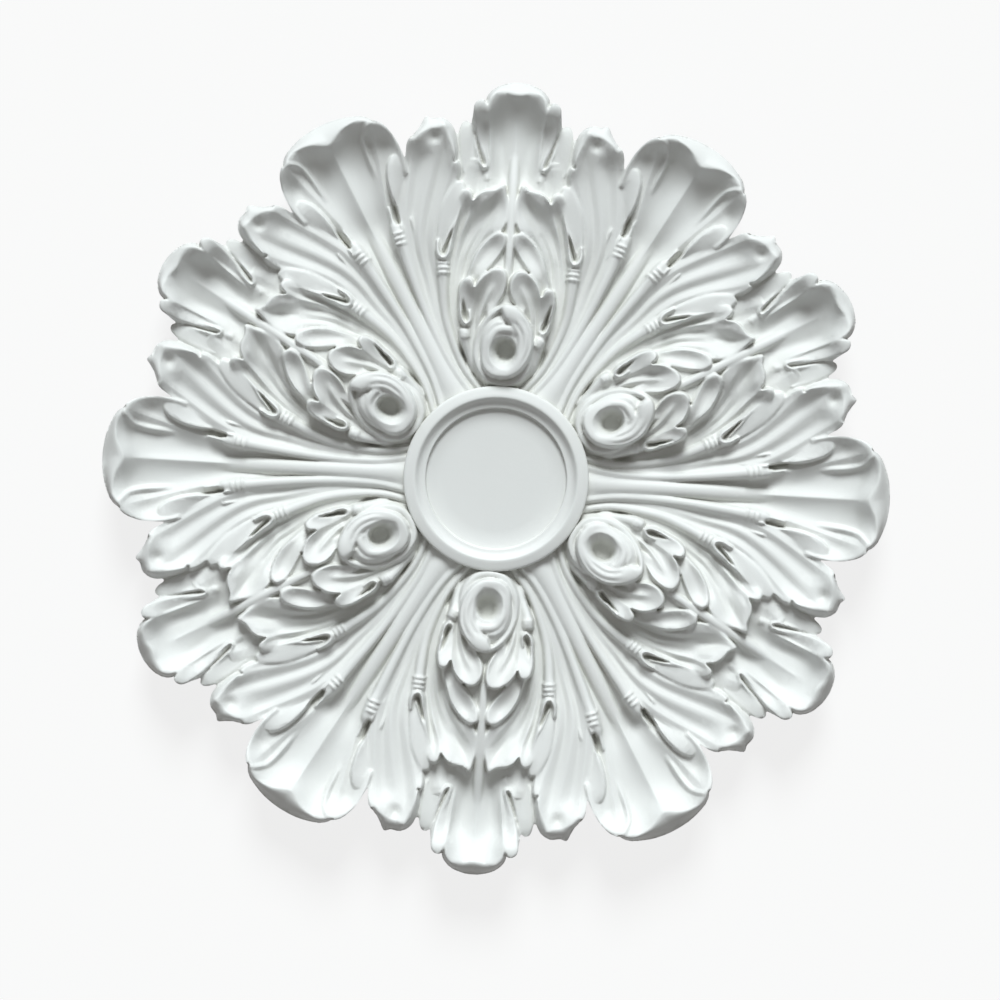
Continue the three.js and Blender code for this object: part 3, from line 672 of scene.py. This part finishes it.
def softened(grid, reach):
    """The grid blurred evenly over a reach given in cells."""
    k = np.arange(-math.ceil(3 * reach), math.ceil(3 * reach) + 1)
    weight = np.exp(-(k / reach) ** 2 / 2)
    weight /= weight.sum()
    for axis in (0, 1):
        grid = sum(w * np.roll(grid, int(n), axis) for n, w in zip(k, weight))
    return grid


def sampled(grid, across, outward):
    """The grid's value at each place, mixed from the four cells round it."""
    i = np.clip((across + FIELD_ACROSS) / CELL, 0, grid.shape[1] - 1.001)
    j = np.clip((outward - FIELD_LOW) / CELL, 0, grid.shape[0] - 1.001)
    i0, j0 = i.astype(int), j.astype(int)
    fi, fj = i - i0, j - j0
    top = mix(grid[j0, i0], grid[j0, i0 + 1], fi)
    bottom = mix(grid[j0 + 1, i0], grid[j0 + 1, i0 + 1], fi)
    return mix(top, bottom, fj)


CARVING = (
    foot_of_ring, fan_leaf, broad_spoon, side_leaf, inner_leaf, rib, finger_stems, top_leaf, fingers,
    eyes_and_bands, scroll,
)


def unit_surface():
    """The radii of the rows, the outline's radius in each column, and the heights in one unit."""
    field = Field()
    for lay in CARVING:
        lay(field)
    grid = field.height
    covered = (grid > 0).astype(float)
    cover = softened(covered, SOFTENING / CELL)
    height = softened(grid, SOFTENING / CELL) / np.maximum(cover, 1e-6)
    radii = np.arange(RING_RADIUS, ROSE_RADIUS + ROWS_BEYOND, ROW_STEP)
    angle = (np.arange(COLUMNS_PER_UNIT) / COLUMNS_PER_UNIT - 0.5) * UNIT_ANGLE
    a, r = np.meshgrid(angle, radii)
    across, outward = r * np.sin(a), r * np.cos(a)
    seen = sampled(cover, across, outward)
    heights = sampled(height, across, outward)
    outline = np.empty(COLUMNS_PER_UNIT)
    for k in range(COLUMNS_PER_UNIT):
        last = np.nonzero(seen[:, k] > COVERED)[0][-1]
        here, beyond = seen[last, k], seen[last + 1, k]
        outline[k] = radii[last] + ROW_STEP * (here - COVERED) / max(here - beyond, 1e-6)
    floor = np.maximum(BED_HEIGHT, underside(r) + THINNEST)
    heights = np.where(seen > COVERED, np.maximum(heights, floor), floor)
    return radii, angle, outline, heights


def underside(radius):
    """The height of the back, which rises in a shallow cone beyond the flat bed."""
    return np.maximum(0, (radius - BED_RADIUS) * TIP_UNDERCUT / (ROSE_RADIUS - BED_RADIUS))


def ring_profile():
    """Radius and height along the plain ring, from its outer foot to the plate's middle."""
    return [
        (RING_RADIUS, 35.0), (71.2, 36.8), (70.7, 37.9), (69.7, 38.5), (68.0, 38.9), (65.2, 39.6),
        (63.3, 40.0), (62.4, 39.9), (61.6, 39.2), (60.7, 37.7), (59.6, 36.2), (58.0, 35.0),
        (56.4, 34.5), (55.4, 34.3), (54.7, 34.2), (54.3, 33.7), (54.2, 32.0), (53.9, 30.9),
        (53.2, 30.5), (40.0, 30.5), (20.0, 30.5),
    ]


def rose_mesh():
    """The whole closed surface: leaves, ring and plate, the outline's wall and the back."""
    radii, angle, outline, heights = unit_surface()
    columns = UNITS * COLUMNS_PER_UNIT
    around = np.concatenate([angle + k * UNIT_ANGLE for k in range(UNITS)])
    edge = np.tile(outline, UNITS)
    height = np.tile(heights, (1, UNITS))
    face_rows = [np.outer(radii, np.sin(around)), np.outer(radii, np.cos(around)), height]
    places = [np.stack(face_rows, axis=2).reshape(-1, 3)]
    edge_row = np.clip(((edge - radii[0]) / ROW_STEP).astype(int), 0, len(radii) - 2)
    edge_height = height[edge_row, np.arange(columns)]
    wall = [
        (0.0, edge_height),
        (EDGE_BULGE, edge_height - EDGE_ROUND),
        (0.0, underside(edge) + EDGE_FOOT),
        (-EDGE_CHAMFER, underside(edge)),
    ]
    for step, level in wall:
        r = edge + step
        places.append(np.stack([r * np.sin(around), r * np.cos(around), level], axis=1))
    for radius in (BED_RADIUS, BED_RADIUS / 2):
        r = np.full(columns, radius)
        places.append(np.stack([r * np.sin(around), r * np.cos(around), np.zeros(columns)], axis=1))
    places.append(np.zeros((1, 3)))
    base = np.arange(len(radii) * columns).reshape(len(radii), columns)
    count = base.size
    rings = [count + k * columns + np.arange(columns) for k in range(6)]
    centre = count + 6 * columns
    beyond = radii[:, None] > (edge - EDGE_GAP * ROW_STEP)[None, :]
    index = np.where(beyond, rings[0][None, :], base)
    faces = [quads(index[k], index[k + 1]) for k in range(len(radii) - 1)]
    faces += [quads(rings[k], rings[k + 1]) for k in range(5)]
    inner = rings[5]
    faces.append(np.stack([inner, np.full(columns, centre), np.roll(inner, -1)], axis=1)[:, ::-1])
    ring_at = np.arange(0, columns, RING_EVERY)
    start = centre + 1
    profile = ring_profile()
    for radius, level in profile:
        a = around[ring_at]
        places.append(np.stack([radius * np.sin(a), radius * np.cos(a), np.full(len(a), level)], axis=1))
    places.append(np.array([[0.0, 0.0, profile[-1][1]]]))
    loops = [start + k * len(ring_at) + np.arange(len(ring_at)) for k in range(len(profile))]
    faces += [quads(loops[k + 1], loops[k]) for k in range(len(profile) - 1)]
    middle = start + len(profile) * len(ring_at)
    faces.append(np.stack([loops[-1], np.roll(loops[-1], -1), np.full(len(ring_at), middle)], axis=1))
    foot = index[0]
    nearest = np.arange(columns) // RING_EVERY
    owner = loops[0][nearest]
    faces.append(np.stack([foot, np.roll(foot, -1), owner], axis=1)[:, ::-1])
    turn = foot[np.roll(ring_at, -1)]
    faces.append(np.stack([loops[0], turn, np.roll(loops[0], -1)], axis=1)[:, ::-1])
    faces = np.concatenate(faces)
    whole = (faces[:, 0] != faces[:, 1]) & (faces[:, 1] != faces[:, 2]) & (faces[:, 2] != faces[:, 0])
    return np.concatenate(places), faces[whole], start, foot


def quads(near, far):
    """Two triangles for each step round between two closed loops."""
    near_next, far_next = np.roll(near, -1), np.roll(far, -1)
    return np.concatenate([
        np.stack([near, far, far_next], axis=1),
        np.stack([near, far_next, near_next], axis=1),
    ])


def make_rose():
    """The rose as one piece, thinned to the limit of faces, with its ring's loops kept whole."""
    places, faces, ring_start, foot = rose_mesh()
    used = np.unique(faces)
    renumber = np.full(len(places), -1)
    renumber[used] = np.arange(len(used))
    points = places[used]
    world = np.stack([points[:, 0], -points[:, 2], points[:, 1]], axis=1) * MM
    mesh = bpy.data.meshes.new("ceiling_rose_relief")
    mesh.from_pydata(world.tolist(), [], renumber[faces].tolist())
    mesh.validate()
    rose = bpy.data.objects.new("ceiling_rose_relief", mesh)
    bpy.context.scene.collection.objects.link(rose)
    free = rose.vertex_groups.new(name="may be thinned")
    kept = set(renumber[foot].tolist()) | set(range(int(renumber[ring_start]), len(used)))
    free.add([k for k in range(len(used)) if k not in kept], 1.0, "REPLACE")
    thin = rose.modifiers.new("thinned", "DECIMATE")
    thin.ratio = FACE_LIMIT / len(mesh.polygons)
    thin.vertex_group = free.name
    bpy.context.view_layer.update()
    done = bpy.data.meshes.new_from_object(rose.evaluated_get(bpy.context.evaluated_depsgraph_get()))
    rose.modifiers.clear()
    rose.vertex_groups.clear()
    rose.data = done
    done.name = "ceiling_rose_relief"
    done.shade_smooth()
    done.set_sharp_from_angle(angle=math.radians(SHARP_ANGLE))
    return rose


class Value:
    """A shader socket that adds Math nodes when it is used in an expression."""

    def __init__(self, tree, socket):
        self.tree, self.socket = tree, socket

    def maths(self, operation, first, second):
        node = self.tree.nodes.new("ShaderNodeMath")
        node.operation = operation
        for place, item in enumerate((first, second)):
            if isinstance(item, Value):
                self.tree.links.new(item.socket, node.inputs[place])
            else:
                node.inputs[place].default_value = item
        return Value(self.tree, node.outputs[0])

    def __add__(self, other):
        return self.maths("ADD", self, other)

    def __mul__(self, other):
        return self.maths("MULTIPLY", self, other)

    __radd__ = __add__
    __rmul__ = __mul__


class Finish:
    """A material under construction: adds nodes by type, with settings first and sockets after."""

    def __init__(self, name):
        self.material = bpy.data.materials.new(name)
        self.material.use_nodes = True
        self.tree = self.material.node_tree
        self.tree.nodes.clear()

    def node(self, kind, settings=None, inputs=None, output=0):
        made = self.tree.nodes.new(kind)
        for name, value in (settings or {}).items():
            setattr(made, name, value)
        for name, value in (inputs or {}).items():
            socket = made.inputs[name]
            if isinstance(value, Value):
                self.tree.links.new(value.socket, socket)
            else:
                socket.default_value = value
        return Value(self.tree, made.outputs[output])

    def show(self, surface):
        out = self.tree.nodes.new("ShaderNodeOutputMaterial")
        self.tree.links.new(surface.socket, out.inputs["Surface"])
        return self.material


def plaster_finish():
    """White paint on plaster: a faint uneven tone, painted shade that darkens the hollows, and a fine
    grain.
    """
    finish = Finish("painted plaster")
    place = finish.node("ShaderNodeTexCoord", output="Object")
    cloud = finish.node("ShaderNodeTexNoise", inputs={"Vector": place, "Scale": 14.0, "Detail": 4.0})
    grain = finish.node("ShaderNodeTexNoise", inputs={"Vector": place, "Scale": 900.0, "Detail": 3.0})
    brushed = finish.node("ShaderNodeTexNoise", inputs={"Vector": place, "Scale": 160.0, "Detail": 2.0})
    # Painted shade: ambient occlusion mixes a warm grey into the paint in hollows and creases, where
    # shade falls
    painted_shade = finish.node(
        "ShaderNodeAmbientOcclusion", {"samples": 8, "only_local": True},
        {"Distance": PAINTED_SHADE_REACH}, output="AO",
    )
    paint = finish.node(
        "ShaderNodeMix", {"data_type": "RGBA"},
        {"Factor": cloud, "A": DULL_PAINT, "B": PALE_PAINT}, output="Result",
    )
    # The paint darkened by the painted shade in the hollows
    shaded = finish.node(
        "ShaderNodeMix", {"data_type": "RGBA"},
        {"Factor": painted_shade, "A": PAINTED_SHADE_GREY, "B": paint}, output="Result",
    )
    bump = finish.node(
        "ShaderNodeBump", None,
        {"Height": grain * 0.35 + brushed * 0.65, "Strength": 0.12, "Distance": BUMP_DEPTH},
        output="Normal",
    )
    surface = finish.node("ShaderNodeBsdfPrincipled", None, {
        "Base Color": shaded, "Roughness": 0.52 + cloud * 0.16, "Normal": bump,
    })
    return finish.show(surface)


def stage_sheet(name, corners, colour, glow, one_sided=False):
    """A plain pale sheet behind or below the rose. One that is one-sided shows only its front."""
    mesh = bpy.data.meshes.new(name)
    mesh.from_pydata(corners, [], [(0, 1, 2, 3)])
    sheet = bpy.data.objects.new(name, mesh)
    bpy.context.scene.collection.objects.link(sheet)
    finish = Finish(name)
    surface = finish.node("ShaderNodeBsdfPrincipled", None, {
        "Base Color": colour, "Roughness": 1.0, "Specular IOR Level": 0.0,
        "Emission Color": (1, 1, 1, 1), "Emission Strength": glow,
    })
    if one_sided:
        clear = finish.node("ShaderNodeBsdfTransparent")
        behind = finish.node("ShaderNodeNewGeometry", output="Backfacing")
        surface = finish.node("ShaderNodeMixShader", None, {0: behind, 1: surface, 2: clear})
    mesh.materials.append(finish.show(surface))
    sheet.visible_diffuse = False


def set_stage():
    """A bright wall close behind the rose, a pale floor well below it, and a soft high light."""
    wide = STAGE_HALF_WIDTH
    turns = ((-1, -1), (1, -1), (1, 1), (-1, 1))
    stage_sheet("wall", [(x * wide, WALL_BEHIND, z * wide) for x, z in turns],
                WALL_COLOUR, WALL_GLOW, True)
    front_left, front_right = (-wide, STAGE_FRONT, FLOOR_LEVEL), (wide, STAGE_FRONT, FLOOR_LEVEL)
    back_left, back_right = (-wide, wide, FLOOR_LEVEL), (wide, wide, FLOOR_LEVEL)
    stage_sheet("floor", [front_left, front_right, back_right, back_left], FLOOR_COLOUR, 0.0)
    light = bpy.data.lights.new("high soft light", "SUN")
    light.energy = LIGHT_ENERGY
    light.color = LIGHT_COLOUR
    light.angle = math.radians(LIGHT_ANGLE)
    lamp = bpy.data.objects.new("high soft light", light)
    lamp.rotation_euler = Vector(LIGHT_PATH).to_track_quat("-Z", "Y").to_euler()
    bpy.context.scene.collection.objects.link(lamp)
    world = bpy.data.worlds.new("studio")
    world.use_nodes = True
    background = world.node_tree.nodes["Background"]
    background.inputs["Color"].default_value = ROOM_COLOUR
    background.inputs["Strength"].default_value = ROOM_STRENGTH
    bpy.context.scene.world = world
    bpy.context.scene.view_settings.view_transform = "Standard"


def set_camera():
    """Straight on, as the photograph was taken, a little turned about the line of sight."""
    middle = PHOTO_SIDE / 2
    rose_right = (PHOTO_CENTRE[0] - middle) / PHOTO_SIDE * VIEW_WIDTH
    rose_up = (middle - PHOTO_CENTRE[1]) / PHOTO_SIDE * VIEW_WIDTH
    data = bpy.data.cameras.new("camera")
    camera = bpy.data.objects.new("camera", data)
    bpy.context.scene.collection.objects.link(camera)
    data.sensor_width = SENSOR_WIDTH
    data.lens = SENSOR_WIDTH * VIEW_DISTANCE / VIEW_WIDTH
    turn = Matrix.Rotation(-math.radians(PHOTO_TURN), 3, "Y")
    facing = Matrix.Rotation(math.radians(90), 3, "X")
    stand = turn @ Vector((-rose_right, 0, -rose_up)) + Vector((0, -FACE_PLANE - VIEW_DISTANCE, 0))
    camera.matrix_world = Matrix.Translation(stand) @ (turn @ facing).to_4x4()
    bpy.context.scene.camera = camera


set_camera()
rose = make_rose()
rose.data.materials.append(plaster_finish())
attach(rose, "root")
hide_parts("ceiling_rose")
set_stage()
print("faces", len(rose.data.polygons))
